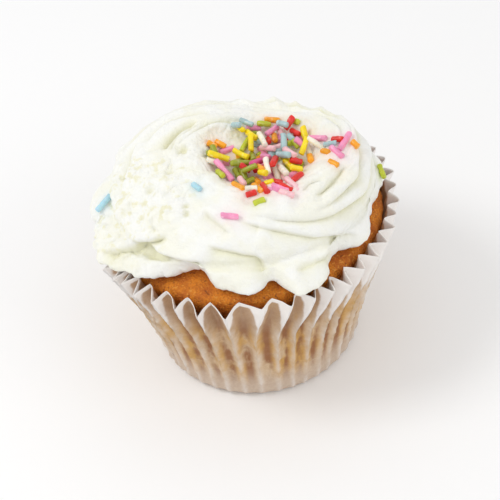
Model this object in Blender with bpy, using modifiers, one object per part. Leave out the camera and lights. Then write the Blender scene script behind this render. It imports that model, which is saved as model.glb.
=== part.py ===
"""A cupcake: a pleated paper case, the sponge baked in it, a swirl of frosting, and sugar strands.

The origin is the middle of the case's base, +Z is up, and the eating side with the most
sponge showing faces -Y. All sizes are in metres and all azimuths in degrees from +X.
"""

import math

import bmesh
import bpy
from mathutils import Vector

COLLECTION = "cupcake"

# Paper case.
PAPER = 0.00035
CASE_HEIGHT = 0.042
BASE_RADIUS = 0.0233
BASE_RING_SHARE = 0.9
CORNER_RADIUS = 0.0040
CORNER_RING_SHARE = 0.35
HEEL_RADIUS = 0.0258
RIM_RADIUS = 0.0347
RIM_SPREAD = 0.0014
SPREAD_SIDE = 15
WALL_FLARE = 1.25
PLEATS = 42
RIM_PLEAT = 0.0026
HEEL_PLEAT = 0.00045
PLEAT_GROWTH = 1.9
PLEAT_SKEW = 0.22
PLEAT_JITTER = 0.16
JITTER_STEPS = (12.99, 3.7)
JITTER_START = 4.1
PLEAT_DRIFT = ((0.22, 2, 40), (0.15, 1, -90))
CASE_ROWS = 7
RIM_CROWDING = 0.85
CASE_CREASE = 25
PAPER_COLOUR = (0.62, 0.47, 0.33)

# Sponge.
CLEARANCE = 0.0003
SPONGE_BASE_SHARE = 0.85
SPONGE_RIM_Z = 0.0402
SPONGE_RIM_TUCK = 0.0009
SPONGE_RIM_FILL = 0.75
SPONGE_TOP_Z = 0.0452
SPONGE_DROP = 0.0040
SPONGE_SHOULDER = 0.0306
SPONGE_WALL_TOP = 0.0372
DOME_POWER = 2.2
PLEAT_FILL = 0.62
DOME_RINGS = 3
SPONGE_CREASE = 40
CRUST_COLOUR = (0.50, 0.19, 0.045)

# Frosting: the lower turn is a skirt of lobes (azimuth, half width, reach, squareness).
LOBES = (
    (-160, 41, 0.0383, 2.0),
    (-152, 13, 0.0396, 2.0),
    (-102, 18, 0.0309, 3.0),
    (-93, 15, 0.0324, 2.0),
    (-67, 14, 0.0356, 4.0),
    (-32, 28, 0.0330, 2.6),
    (8, 30, 0.0350, 2.6),
    (42, 24, 0.0340, 2.2),
    (76, 22, 0.0345, 2.2),
    (110, 22, 0.0350, 2.2),
    (144, 24, 0.0360, 2.2),
    (176, 24, 0.0374, 2.2),
)
NOTCH_RADIUS = 0.0225
LOBE_SHARPNESS = 900.0
SKIRT_RISE = 0.0016
SKIRT_UNDERCUT = 0.0020
UNDERSIDE_RINGS = (0.35, 0.75)
# Each turn is an ellipse: its middle's x and y, then its radii along x and y.
GROOVE = (-0.0004, 0.0005, 0.0318, 0.0270)
GROOVE_Z = 0.0479
UPPER_TURN = (0.0003, 0.0008, 0.0316, 0.0266)
UPPER_TURN_Z = 0.0506
CREST = (0.0052, 0.0028, 0.0210, 0.0178)
CREST_Z = 0.0576
CRATER = (0.0050, 0.0015, 0.0526)
# Where the surface bulges between two of these lines: the share of the way, and the rise.
LOWER_BULGE = (0.5, 0.0012)
UPPER_BULGE = (0.45, 0.0019)
CRATER_WALL = (0.76, 0.0002)
CRATER_FLOOR = (0.50, -0.0010)
HIGH_SIDE = 135
HIGH_SIDE_RISE = 0.0036
HIGH_SIDE_POWER = 3
LOW_SIDE = 70
LOW_SIDE_FALL = 0.0036
LOW_SIDE_POWER = 4
NOZZLE_RIDGES = 3
NOZZLE_TURNS = 3
NOZZLE_DEPTH = 0.0009
RIDGES_START, RIDGES_END = 0.40, 0.83
FROSTING_SIDES = 80
FROSTING_ROWS = 26
FROSTING_CREASE = 50
FROSTING_COLOUR = (0.91, 0.90, 0.84)

# Heap of sugar strands: a mound in the crater. Its edge is a place along the frosting's section.
HEAP_EDGE = 7.5
HEAP_FRONT_REACH = 0.75
HEAP_MIDDLE = (0.0056, 0.0010, 0.0568)
HEAP_UNDER_STEPS = (0.0, 0.5, 1.0)
HEAP_MOUND = ((0.12, 0.0007), (0.40, 0.0006), (0.72, 0.0002))
HEAP_BUMPS = 7
HEAP_BUMP_HEIGHT = 0.0004
HEAP_SIDES = 40
HEAP_CREASE = 35
STRAND_COLOUR = (0.85, 0.45, 0.30)


def rim_wobble(azimuth):
    """A slow drift that makes some pleats wider than others, in pleats."""
    return sum(size * math.sin(math.radians(waves * azimuth + start)) for size, waves, start in PLEAT_DRIFT)


def fold_offset(index):
    """A small shift of each fold along the rim, in pleats. It's the same each run."""
    first, second = JITTER_STEPS
    return PLEAT_JITTER * math.sin(first * index + JITTER_START) * math.cos(second * index)


def wall_radius(height):
    """Mean radius of the case's wall, from its rounded heel up to the rim."""
    if height < CORNER_RADIUS:
        rise = 1 - height / CORNER_RADIUS
        return HEEL_RADIUS - (HEEL_RADIUS - BASE_RADIUS) * (1 - math.sqrt(max(0.0, 1 - rise * rise)))
    share = (height - CORNER_RADIUS) / (CASE_HEIGHT - CORNER_RADIUS)
    return HEEL_RADIUS + (RIM_RADIUS - HEEL_RADIUS) * share**WALL_FLARE


def rim_spread(azimuth, height):
    """The case has been squeezed a little: its rim is longer along one line than across it."""
    return RIM_SPREAD * height / CASE_HEIGHT * math.cos(math.radians(azimuth - SPREAD_SIDE)) ** 2


def pleat_depth(height):
    share = max(0.0, height / CASE_HEIGHT)
    return HEEL_PLEAT + (RIM_PLEAT - HEEL_PLEAT) * share**PLEAT_GROWTH


def fold_azimuth(index, height):
    """Azimuth of a fold line: even folds point out and odd folds point in."""
    share = height / CASE_HEIGHT
    pleat = index / 2 + fold_offset(index) * share
    if index % 2:
        pleat += PLEAT_SKEW * (1 - share)
    azimuth = pleat * 360 / PLEATS
    return azimuth + rim_wobble(azimuth) * 360 / PLEATS


def fold_ring(height, fill=1.0, inset=0.0):
    """One ring of the zigzag wall. fill is the share of the pleats' depth that it follows."""
    depth = pleat_depth(height)
    ring = []
    for index in range(2 * PLEATS):
        azimuth = fold_azimuth(index, height)
        swing = depth if index % 2 == 0 else -depth
        radius = wall_radius(height) + rim_spread(azimuth, height) - inset + fill * swing
        angle = math.radians(azimuth)
        ring.append((radius * math.cos(angle), radius * math.sin(angle), height))
    return ring


def round_ring(radius, height, pull=1.0):
    """A ring on the same azimuths as the folds, for the flat base and the dome."""
    return [(radius * x, radius * y, height) for x, y in unit_folds(pull)]


def unit_folds(share):
    for index in range(2 * PLEATS):
        angle = math.radians(fold_azimuth(index, share * CASE_HEIGHT))
        yield math.cos(angle), math.sin(angle)


def loft(name, rings, bottom=None, top=None):
    """A mesh through rings of equal length, listed from the bottom up, with a fan at each given end."""
    mesh = bmesh.new()
    rows = [[mesh.verts.new(point) for point in ring] for ring in rings]
    sides = len(rows[0])
    for lower, upper in zip(rows, rows[1:]):
        for i in range(sides):
            j = (i + 1) % sides
            mesh.faces.new((lower[i], lower[j], upper[j], upper[i]))
    if bottom:
        centre = mesh.verts.new(bottom)
        for i in range(sides):
            mesh.faces.new((centre, rows[0][(i + 1) % sides], rows[0][i]))
    if top:
        centre = mesh.verts.new(top)
        for i in range(sides):
            mesh.faces.new((centre, rows[-1][i], rows[-1][(i + 1) % sides]))
    data = bpy.data.meshes.new(name)
    mesh.to_mesh(data)
    mesh.free()
    return data


def material(name, colour, roughness):
    made = bpy.data.materials.new(name)
    made.use_nodes = True
    shader = made.node_tree.nodes["Principled BSDF"]
    shader.inputs["Base Color"].default_value = (*colour, 1)
    shader.inputs["Roughness"].default_value = roughness
    shader.inputs["Metallic"].default_value = 0.0
    return made


def add_object(name, data, finish, collection, sharp_angle):
    data.shade_smooth()
    data.set_sharp_from_angle(angle=math.radians(sharp_angle))
    data.materials.append(finish)
    made = bpy.data.objects.new(name, data)
    collection.objects.link(made)
    return made


def wall_heights(low, high, count):
    """Heights that crowd towards the rim, where the pleats open out."""
    return [low + (high - low) * (i / count) ** RIM_CROWDING for i in range(count + 1)]


def make_case(collection):
    """The pleated paper: one open surface, its outer side, given its thickness inwards."""
    rings = [round_ring(BASE_RADIUS * BASE_RING_SHARE, 0.0, 0.0)]
    rings.append(fold_ring(0.0))
    rings.append(fold_ring(CORNER_RADIUS * CORNER_RING_SHARE))
    rings += [fold_ring(z) for z in wall_heights(CORNER_RADIUS, CASE_HEIGHT, CASE_ROWS - 2)]
    data = loft("paper_case", rings, bottom=(0, 0, 0))
    finish = material("greased paper", PAPER_COLOUR, 0.6)
    case = add_object("paper_case", data, finish, collection, CASE_CREASE)
    shell = case.modifiers.new("thickness", "SOLIDIFY")
    shell.thickness = PAPER
    shell.offset = -1.0
    shell.use_even_offset = True
    return case


def dome_height(radius):
    return SPONGE_TOP_Z - SPONGE_DROP * (radius / SPONGE_SHOULDER) ** DOME_POWER


def seat_height(radius):
    """Lowest height that clears both the dome and the case's rim at a radius."""
    return max(CASE_HEIGHT, dome_height(radius)) + 1.5 * CLEARANCE


def sponge_inset(height):
    """How far the sponge stays behind the paper's outer face, so that no fold touches it."""
    half_pitch = math.pi * wall_radius(height) / PLEATS
    fold_angle = math.atan2(half_pitch, 2 * pleat_depth(height))
    return PAPER / math.sin(fold_angle) + 2 * CLEARANCE + (1 - PLEAT_FILL) * pleat_depth(height)


def make_sponge(collection):
    """The cake itself: it fills the case, its crust follows the pleats and its top is a low dome."""
    floor = PAPER + 1.5 * CLEARANCE
    heel = BASE_RADIUS - PAPER - 2 * CLEARANCE
    rings = [round_ring(heel * SPONGE_BASE_SHARE, floor, 0.0)]
    shrink = heel / BASE_RADIUS
    rings.append([(x * shrink, y * shrink, floor) for x, y, _ in fold_ring(0.0, PLEAT_FILL)])
    heights = [CORNER_RADIUS * CORNER_RING_SHARE + PAPER + CLEARANCE]
    heights += wall_heights(CORNER_RADIUS + CLEARANCE, SPONGE_WALL_TOP, CASE_ROWS - 3)
    rings += [fold_ring(z, PLEAT_FILL, sponge_inset(z)) for z in heights]
    tuck = sponge_inset(SPONGE_RIM_Z) + SPONGE_RIM_TUCK
    rings.append(fold_ring(SPONGE_RIM_Z, PLEAT_FILL * SPONGE_RIM_FILL, tuck))
    for ring in range(DOME_RINGS):
        radius = SPONGE_SHOULDER * (1 - ring / DOME_RINGS)
        rings.append(round_ring(radius, dome_height(radius)))
    data = loft("sponge", rings, bottom=(0, 0, floor), top=(0, 0, SPONGE_TOP_Z))
    finish = material("baked crust", CRUST_COLOUR, 0.75)
    return add_object("sponge", data, finish, collection, SPONGE_CREASE)


def toward(azimuth, side):
    """1 on the given side of the cake, falling to 0 a quarter turn away and beyond."""
    return max(0.0, math.cos(math.radians(azimuth - side)))


def skirt_reach(azimuth):
    """Outer radius of the lower turn of frosting: its lobes, blended with soft notches between."""
    total = math.exp(LOBE_SHARPNESS * NOTCH_RADIUS)
    for centre, half_width, reach, squareness in LOBES:
        away = abs((azimuth - centre + 180) % 360 - 180) / half_width
        swell = max(0.0, 1 - away**squareness)
        total += math.exp(LOBE_SHARPNESS * (NOTCH_RADIUS + (reach - NOTCH_RADIUS) * swell))
    return math.log(total) / LOBE_SHARPNESS


def on_ellipse(ellipse, azimuth, height):
    x, y, long_radius, short_radius = ellipse
    angle = math.radians(azimuth)
    return (x + long_radius * math.cos(angle), y + short_radius * math.sin(angle), height)


def between(start, end, share, rise=0.0):
    point = [a + (b - a) * share for a, b in zip(start, end)]
    point[2] += rise
    return point


def polar(azimuth, radius, height):
    angle = math.radians(azimuth)
    return (radius * math.cos(angle), radius * math.sin(angle), height)


def frosting_section(azimuth):
    """Control points of the frosting's section at one azimuth, from its underside up to the crater."""
    reach = skirt_reach(azimuth)
    high = HIGH_SIDE_RISE * toward(azimuth, HIGH_SIDE) ** HIGH_SIDE_POWER
    low = LOW_SIDE_FALL * toward(azimuth, LOW_SIDE) ** LOW_SIDE_POWER
    seat = seat_height(reach - SKIRT_UNDERCUT)
    contact = polar(azimuth, reach - SKIRT_UNDERCUT, seat)
    edge = polar(azimuth, reach, seat + SKIRT_RISE + high / 2)
    groove = on_ellipse(GROOVE, azimuth, GROOVE_Z + high - low / 2)
    turn = on_ellipse(UPPER_TURN, azimuth, UPPER_TURN_Z + high - low / 2)
    crest = on_ellipse(CREST, azimuth, CREST_Z + high / 3 - low)
    return [
        contact,
        edge,
        between(edge, groove, *LOWER_BULGE),
        groove,
        turn,
        between(turn, crest, *UPPER_BULGE),
        crest,
        between(CRATER, crest, *CRATER_WALL),
        between(CRATER, crest, *CRATER_FLOOR),
    ]


def spline_point(points, position):
    """A point on the smooth curve through the control points."""
    last = len(points) - 1
    start = min(int(position), last - 1)
    t = position - start
    before, here, after, beyond = (points[min(max(start + k, 0), last)] for k in (-1, 0, 1, 2))
    return [
        0.5 * (2 * b + (c - a) * t + (2 * a - 5 * b + 4 * c - d) * t * t + (3 * b - a - 3 * c + d) * t**3)
        for a, b, c, d in zip(before, here, after, beyond)
    ]


def nozzle_ridge(azimuth, share):
    """Height of the ridges that the star nozzle leaves. They wind inwards round the swirl."""
    if not RIDGES_START < share < RIDGES_END:
        return 0.0
    place = (share - RIDGES_START) / (RIDGES_END - RIDGES_START)
    wave = math.sin(2 * math.pi * (NOZZLE_RIDGES * place + NOZZLE_TURNS * azimuth / 360))
    return NOZZLE_DEPTH * wave * math.sin(math.pi * place) ** 0.5


def raised(rings, row, i, height):
    """A point of the rings, moved along the surface's normal."""
    sides = len(rings[row])
    here = Vector(rings[row][i])
    along = Vector(rings[row][(i + 1) % sides]) - Vector(rings[row][i - 1])
    upper = Vector(rings[min(row + 1, len(rings) - 1)][i])
    lower = Vector(rings[max(row - 1, 0)][i])
    return here + height * along.cross(upper - lower).normalized()


def frosting_rings():
    azimuths = [360 * i / FROSTING_SIDES for i in range(FROSTING_SIDES)]
    sections = [frosting_section(azimuth) for azimuth in azimuths]
    last = len(sections[0]) - 1
    shares = [row / FROSTING_ROWS for row in range(FROSTING_ROWS + 1)]
    rings = [[spline_point(section, last * share) for section in sections] for share in shares]
    return [
        [raised(rings, row, i, nozzle_ridge(azimuth, share)) for i, azimuth in enumerate(azimuths)]
        for row, share in enumerate(shares)
    ]


def make_frosting(collection):
    """The swirl: a lobed lower turn, a groove, an upper turn with nozzle ridges, and a crater."""
    rings = frosting_rings()
    under = []
    for share in UNDERSIDE_RINGS:
        ring = [(x * share, y * share) for x, y, _ in rings[0]]
        under.append([(x, y, seat_height(math.hypot(x, y))) for x, y in ring])
    data = loft("frosting", under + rings, bottom=(0, 0, seat_height(0)), top=CRATER)
    finish = material("buttercream", FROSTING_COLOUR, 0.45)
    return add_object("frosting", data, finish, collection, FROSTING_CREASE)


def heap_place(section, azimuth, step):
    """A point of the crater under the heap: step 0 is the innermost and step 1 the heap's edge."""
    last = len(section) - 1
    edge = HEAP_EDGE - HEAP_FRONT_REACH * toward(azimuth, -90)
    return spline_point(section, last + (edge - last) * step)


def make_heap(collection):
    """The sugar strands as one mound: its underside follows the crater, and its top is bumpy."""
    azimuths = [360 * i / HEAP_SIDES for i in range(HEAP_SIDES)]
    sections = [frosting_section(azimuth) for azimuth in azimuths]
    crater = [[heap_place(*place, step) for place in zip(sections, azimuths)] for step in HEAP_UNDER_STEPS]
    gap = 1.5 * CLEARANCE
    rings = [[raised(crater, row, i, -gap) for i in range(HEAP_SIDES)] for row in range(len(crater))]
    edge = rings[-1]
    for turn, (share, rise) in enumerate(HEAP_MOUND):
        bumps = [math.sin(math.radians(HEAP_BUMPS * azimuth + 90 * turn)) for azimuth in azimuths]
        heights = [rise + HEAP_BUMP_HEIGHT * bump for bump in bumps]
        rings.append([between(point, HEAP_MIDDLE, share, height) for point, height in zip(edge, heights)])
    x, y, floor = CRATER
    data = loft("strand_heap", rings, bottom=(x, y, floor + gap), top=HEAP_MIDDLE)
    finish = material("sugar strands", STRAND_COLOUR, 0.5)
    return add_object("strand_heap", data, finish, collection, HEAP_CREASE)


def main():
    for found in list(bpy.data.objects):
        bpy.data.objects.remove(found, do_unlink=True)
    collection = bpy.data.collections.new(COLLECTION)
    bpy.context.scene.collection.children.link(collection)
    make_case(collection)
    make_sponge(collection)
    make_frosting(collection)
    make_heap(collection)


main()
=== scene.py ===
# %% [markdown]
# # A frosted cupcake in its paper case
# The object is a small sponge cake baked in a pleated paper case, with a piped swirl of
# frosting and a heap of sugar strands in the swirl's hollow. The plain solids of the case, the
# sponge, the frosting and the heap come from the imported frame. This script dresses each of
# them with finer pieces in the same place, and adds the looks, the floor, the light and the
# camera.

# %% Load the frame
import itertools
import math

import bmesh
import bpy
import numpy as np
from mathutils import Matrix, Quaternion, Vector
from mathutils.bvhtree import BVHTree


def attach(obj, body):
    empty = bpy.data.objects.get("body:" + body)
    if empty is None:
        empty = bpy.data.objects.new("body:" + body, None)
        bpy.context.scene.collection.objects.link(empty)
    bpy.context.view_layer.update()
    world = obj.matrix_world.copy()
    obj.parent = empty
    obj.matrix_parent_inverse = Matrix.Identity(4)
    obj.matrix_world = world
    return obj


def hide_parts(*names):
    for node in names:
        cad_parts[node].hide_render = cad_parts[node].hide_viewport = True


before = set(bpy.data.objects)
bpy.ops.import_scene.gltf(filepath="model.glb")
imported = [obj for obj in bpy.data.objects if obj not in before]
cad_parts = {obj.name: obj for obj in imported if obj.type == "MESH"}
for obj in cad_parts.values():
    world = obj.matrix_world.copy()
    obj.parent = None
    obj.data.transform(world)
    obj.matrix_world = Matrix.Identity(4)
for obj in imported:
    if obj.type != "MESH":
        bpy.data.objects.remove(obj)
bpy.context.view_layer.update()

MILLIMETRE = 0.001

# %% [markdown]
# ## Camera
# The cake is seen from the front and about 46 degrees above, a little turned in the picture.
# A long lens from far away keeps the round case from looking stretched. `to_track_quat` aims
# the camera, and one more small turn about its own axis tilts the picture.

# %% Camera
CAMERA_PLACE = (0.0, -0.3017, 0.3294)
CAMERA_AIM = (-0.00027, 0.00369, 0.0228)
CAMERA_TILT = -6.6
camera_data = bpy.data.cameras.new("camera")
camera_data.lens = 123.75
camera_data.sensor_width = 36.0
camera_data.clip_start = 0.01
camera = bpy.data.objects.new("camera", camera_data)
bpy.context.scene.collection.objects.link(camera)
camera.location = CAMERA_PLACE
camera.rotation_mode = "QUATERNION"
sight = Vector(CAMERA_AIM) - Vector(CAMERA_PLACE)
camera.rotation_quaternion = sight.to_track_quat("-Z", "Y") @ Quaternion((0, 0, 1), math.radians(CAMERA_TILT))
bpy.context.scene.camera = camera
print("camera distance in mm:", round(1000 * sight.length))

# %% [markdown]
# ## Floor and light
# White frosting shows its folds only if the light comes from one side more than from the
# others. One broad lamp high on the left does that, a weaker one on the right opens the
# shadows, and a pale sky fills the rest. The Standard view keeps whites white and sugar
# colours bright, which a film-like view would dull.

# %% Floor, lamps and sky
def area_lamp(name, place, size, power, aim=(0.0, 0.0, 0.03)):
    data = bpy.data.lights.new(name, "AREA")
    data.shape = "DISK"
    data.size = size
    data.energy = power
    lamp = bpy.data.objects.new(name, data)
    bpy.context.scene.collection.objects.link(lamp)
    lamp.location = place
    lamp.rotation_euler = (Vector(aim) - Vector(place)).to_track_quat("-Z", "Y").to_euler()
    return lamp


area_lamp("key_lamp", (-0.32, -0.04, 0.46), 0.20, 0.75)
area_lamp("fill_lamp", (0.42, -0.30, 0.36), 0.40, 0.45)
sky = bpy.data.worlds.new("sky")
sky.use_nodes = True
sky.node_tree.nodes["Background"].inputs["Color"].default_value = (1.0, 1.0, 1.0, 1.0)
sky.node_tree.nodes["Background"].inputs["Strength"].default_value = 0.79
bpy.context.scene.world = sky
bpy.context.scene.view_settings.view_transform = "Standard"

FLOOR_SIZE = 3.0
bpy.ops.mesh.primitive_plane_add(size=FLOOR_SIZE, location=(0, 0, 0))
floor = bpy.context.object
floor.name = "floor"
floor_finish = bpy.data.materials.new("floor_finish")
floor_finish.use_nodes = True
floor_finish.node_tree.nodes["Principled BSDF"].inputs["Base Color"].default_value = (0.96, 0.96, 0.96, 1)
floor_finish.node_tree.nodes["Principled BSDF"].inputs["Roughness"].default_value = 0.9
floor.data.materials.append(floor_finish)

# %% [markdown]
# ## Three tools for soft shapes
# Food is never quite even, so every piece needs smooth random lumps. `lumps` is gradient
# noise: each corner of an invisible grid gets a random slope, and the slopes are blended
# between the corners. A fixed seed gives the same lumps each run. `loft` turns rings of
# points into a mesh, and `ring_normals` says which way a lofted surface faces, so that
# detail can be pushed in or out along it.

# %% Lumps, lofts and normals
def lumps(points, size, seed):
    """Smooth random lumps about `size` millimetres across, between about -1 and 1."""
    random = np.random.default_rng(seed)
    order = random.permutation(256)
    slopes = random.normal(size=(256, 3))
    slopes /= np.linalg.norm(slopes, axis=1, keepdims=True)
    place = points / size
    cell = np.floor(place).astype(int)
    inside = place - cell
    blend = inside**3 * (inside * (inside * 6 - 15) + 10)
    total = np.zeros(points.shape[:-1])
    for corner in itertools.product((0, 1), repeat=3):
        x, y, z = np.moveaxis((cell + corner) & 255, -1, 0)
        slope = slopes[order[(order[(order[x] + y) & 255] + z) & 255]]
        weight = np.prod(np.where(corner, blend, 1 - blend), axis=-1)
        total += weight * np.sum(slope * (inside - corner), axis=-1)
    return 1.6 * total


def smoothstep(low, high, value):
    share = np.clip((value - low) / (high - low), 0.0, 1.0)
    return share * share * (3 - 2 * share)


def ring_normals(rings):
    """Unit normals of an array (rings, sides, 3). They point out if the rings are listed upwards."""
    around = np.roll(rings, -1, axis=1) - np.roll(rings, 1, axis=1)
    normals = np.cross(around, np.gradient(rings, axis=0))
    return normals / np.maximum(np.linalg.norm(normals, axis=-1, keepdims=True), 1e-9)


def loft(name, rings, bottom=None, top=None, marks=None):
    """A mesh object through rings in millimetres, with a fan at each given end. marks are vertex masks."""
    count, sides, _ = rings.shape
    points = list(rings.reshape(-1, 3))
    corner = np.arange((count - 1) * sides)
    after = corner - corner % sides + (corner + 1) % sides
    faces = np.stack([corner, after, after + sides, corner + sides], axis=1).tolist()
    for centre, ring, turn in ((bottom, 0, -1), (top, count - 1, 1)):
        if centre is not None:
            points.append(np.array(centre, float))
            edge = ring * sides + np.arange(sides + 1) % sides
            faces += [(len(points) - 1, *pair[::turn]) for pair in zip(edge[:-1].tolist(), edge[1:].tolist())]
    mesh = bpy.data.meshes.new(name)
    mesh.from_pydata((np.array(points) * MILLIMETRE).tolist(), [], faces)
    for mark, values in (marks or {}).items():
        flat = np.zeros(len(points), np.float32)
        flat[: count * sides] = values.ravel()
        mesh.attributes.new(mark, "FLOAT", "POINT").data.foreach_set("value", flat)
    mesh.shade_smooth()
    made = bpy.data.objects.new(name, mesh)
    bpy.context.scene.collection.objects.link(made)
    print(name, "has", len(points), "points and", len(faces), "faces")
    return made

# %% [markdown]
# ## Paper case: where the pleats run
# The case is one disc of greaseproof paper, crimped into pleats over a form. Each pleat has a
# sharp fold that points out, a ridge, and a soft hollow between two ridges where the cake has
# pressed the paper. Real pleats aren't even, so each front ridge has two azimuths of its own,
# in degrees from +X: one low on the wall, and one for its tip at the rim, which often leans
# over. A third number says how far the tip reaches out, in millimetres. The ridges behind are spread between them with small seeded shifts.

# %% Ridge azimuths
FRONT_RIDGES = (
    (-155.6, -156, 0.1), (-149, -149.5, 0.0), (-145, -145, -0.3), (-138, -138, 0.1), (-129.4, -130, -0.3),
    (-120, -121, -1.0), (-112, -112, 0.0), (-102.3, -102, -0.8), (-92.8, -88.5, -2.9), (-82.9, -77.5, -1.6),
    (-75, -68, -1.6), (-67.5, -60.5, -0.9), (-59, -53.5, 0.1), (-52, -45, -1.1), (-42.5, -37, -0.6),
    (-34.5, -29, -0.9), (-25.3, -21, -0.4), (-17.2, -13, -0.8), (-9.7, -6, -0.2), (-2.1, 2, -0.5),
    (6.2, 10, 0.1), (14.5, 17.5, -0.3), (21.5, 25, 0.0), (29.9, 33, -0.3),
)
PLEATS = 42
pleat_random = np.random.default_rng(11)
low_ridges, ridge_tips, tip_reach = np.array(FRONT_RIDGES).T
hidden = PLEATS - len(FRONT_RIDGES)
span = low_ridges[0] + 360 - low_ridges[-1]
shifts = pleat_random.uniform(-1.4, 1.4, hidden)
back_ridges = low_ridges[-1] + span * np.arange(1, hidden + 1) / (hidden + 1) + shifts
ridges = np.concatenate([low_ridges, back_ridges])
tips = np.concatenate([ridge_tips, back_ridges + pleat_random.uniform(1.0, 3.0, hidden)])
rim_hollow = np.interp(ridges, (-150, -100, -60, 30), (0.12, 0.36, 0.50, 0.55)) + pleat_random.uniform(-0.06, 0.06, PLEATS)
ridge_reach = np.concatenate([tip_reach, pleat_random.uniform(-1.2, 0.0, hidden)])
ridge_droop = pleat_random.uniform(0.0, 0.9, PLEATS)
bare_start = pleat_random.uniform(0.52, 0.72, PLEATS)
sharp_part = smoothstep(-118, -104, ridges) * (1 - smoothstep(-50, -25, ridges))
rim_softness = pleat_random.uniform(0.65, 0.95, PLEATS) - 0.40 * sharp_part
shallow = 0.45 * smoothstep(-50, -10, ridges)
bare_width = np.interp(ridges, (-150, -110, -80, -50), (0.36, 0.50, 0.80, 0.98))
print(PLEATS, "pleats,", round(span / (hidden + 1), 1), "degrees apart behind")

# %% [markdown]
# ## Paper case: its wall
# The wall flares from a rounded heel to the rim, and the pleats open from half a millimetre at
# the heel to more than two at the rim. Low down a pleat is a narrow ridge beside a wide round
# hollow, where the cake pressed the paper. Near the rim, which nothing pressed, its two sides
# are flat like a folded fan, and each hollow runs up beside the last ridge's tip, so one side
# is wide and the other steep. `fold` is how far a point is from its ridge: 0 on it and 1 in
# the bottom of the hollow.

# %% Wall profile and pleat section
CASE_HEIGHT = 42.0
BASE_RADIUS, HEEL_RADIUS, RIM_RADIUS = 23.3, 25.8, 34.7
CORNER_RADIUS = 4.0
WALL_FLARE = 1.25
HEEL_PLEAT, RIM_PLEAT, PLEAT_GROWTH = 0.20, 2.6, 1.9
RIM_SPREAD, SPREAD_SIDE = 1.4, 15
PAPER = 0.14
SAMPLES = 16
CASE_ROWS = 66


def wall_radius(height):
    rise = 1 - np.clip(height / CORNER_RADIUS, 0, 1)
    heel = HEEL_RADIUS - (HEEL_RADIUS - BASE_RADIUS) * (1 - np.sqrt(1 - rise * rise))
    share = np.clip((height - CORNER_RADIUS) / (CASE_HEIGHT - CORNER_RADIUS), 0, None)
    return np.where(height < CORNER_RADIUS, heel, HEEL_RADIUS + (RIM_RADIUS - HEEL_RADIUS) * share**WALL_FLARE)


def pleat_depth(height):
    share = np.clip(height / CASE_HEIGHT, 0, None)
    return HEEL_PLEAT + (RIM_PLEAT - HEEL_PLEAT) * share**PLEAT_GROWTH


def rim_spread(azimuth, height):
    """The case was squeezed a little, so its rim is longer along one line than across it."""
    return RIM_SPREAD * height / CASE_HEIGHT * np.cos(azimuth - math.radians(SPREAD_SIDE)) ** 2


pleat_of = np.repeat(np.arange(PLEATS), SAMPLES)
after_of = (pleat_of + 1) % PLEATS
phase_of = np.tile(np.arange(SAMPLES) / SAMPLES, PLEATS)
before_hollow = phase_of < 0.5
fold_of = np.where(before_hollow, phase_of / 0.5, (1 - phase_of) / 0.5)
own_ridge = np.where(before_hollow, pleat_of, after_of)


def forward(start, end):
    """How many degrees it is from one azimuth on to the next."""
    return (end - start) % 360


def azimuth_of(up):
    """Azimuths of a ring's points in radians. Near the rim the hollows close up beside the tips."""
    leaning = smoothstep(0.62, 1.0, up)
    ridge = ridges + (tips - ridges) * leaning
    span_to_next = forward(ridge, np.roll(ridge, -1))
    hollow = ridge + span_to_next * (0.5 + (rim_hollow - 0.5) * leaning)
    start, middle = ridge[pleat_of], hollow[pleat_of]
    end = start + span_to_next[pleat_of]
    rising = start + (middle - start) * fold_of
    falling = end + (middle - end) * fold_of
    return np.radians(np.where(before_hollow, rising, falling))


def along_pleats(values):
    """A value given at each ridge, blended across the pleat to the next ridge."""
    return values[pleat_of] * (1 - phase_of) + values[after_of] * phase_of


def wave_of(up):
    """1 on a ridge and -1 in a hollow: round hollows low down and flat folds near the rim."""
    blunt = 0.02 + (0.13 + 0.9 * along_pleats(shallow)) * smoothstep(0.6, 1.0, up)
    fold = (np.hypot(fold_of, blunt) - blunt) / (np.hypot(1, blunt) - blunt)
    rounded = np.sin(np.pi / 2 * fold) ** (0.72 + 1.1 * along_pleats(shallow) * smoothstep(0.5, 1.0, up))
    flat = smoothstep(0.5, 1.0, up) * (1 - along_pleats(rim_softness))
    return 1 - 2 * (rounded + (fold - rounded) * flat)


def opening(height, up):
    """How far the pleats stand out at a height: less at the right and behind, near the rim."""
    return pleat_depth(height) * (1 - along_pleats(shallow) * smoothstep(0.5, 1.0, up))

# %% [markdown]
# ## Paper case: the mesh
# Each row of the wall is a ring at one height. On top of the pleats come the marks of use:
# ridges that reach out or droop a little differently, soft waves, and the fine cross wrinkles
# that damp paper gets low on the wall. Greaseproof paper turns brown and see-through where it
# touches the cake and stays white where it stands off it: wide beside each ridge at the rim,
# and narrower further down until only the ridge's own line is pale. The mesh keeps that as a
# vertex mark named `bare`, which is above 0 on clean paper, and the place between ridge and
# hollow as `fold`. A Solidify modifier gives the sheet its thickness.

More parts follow.
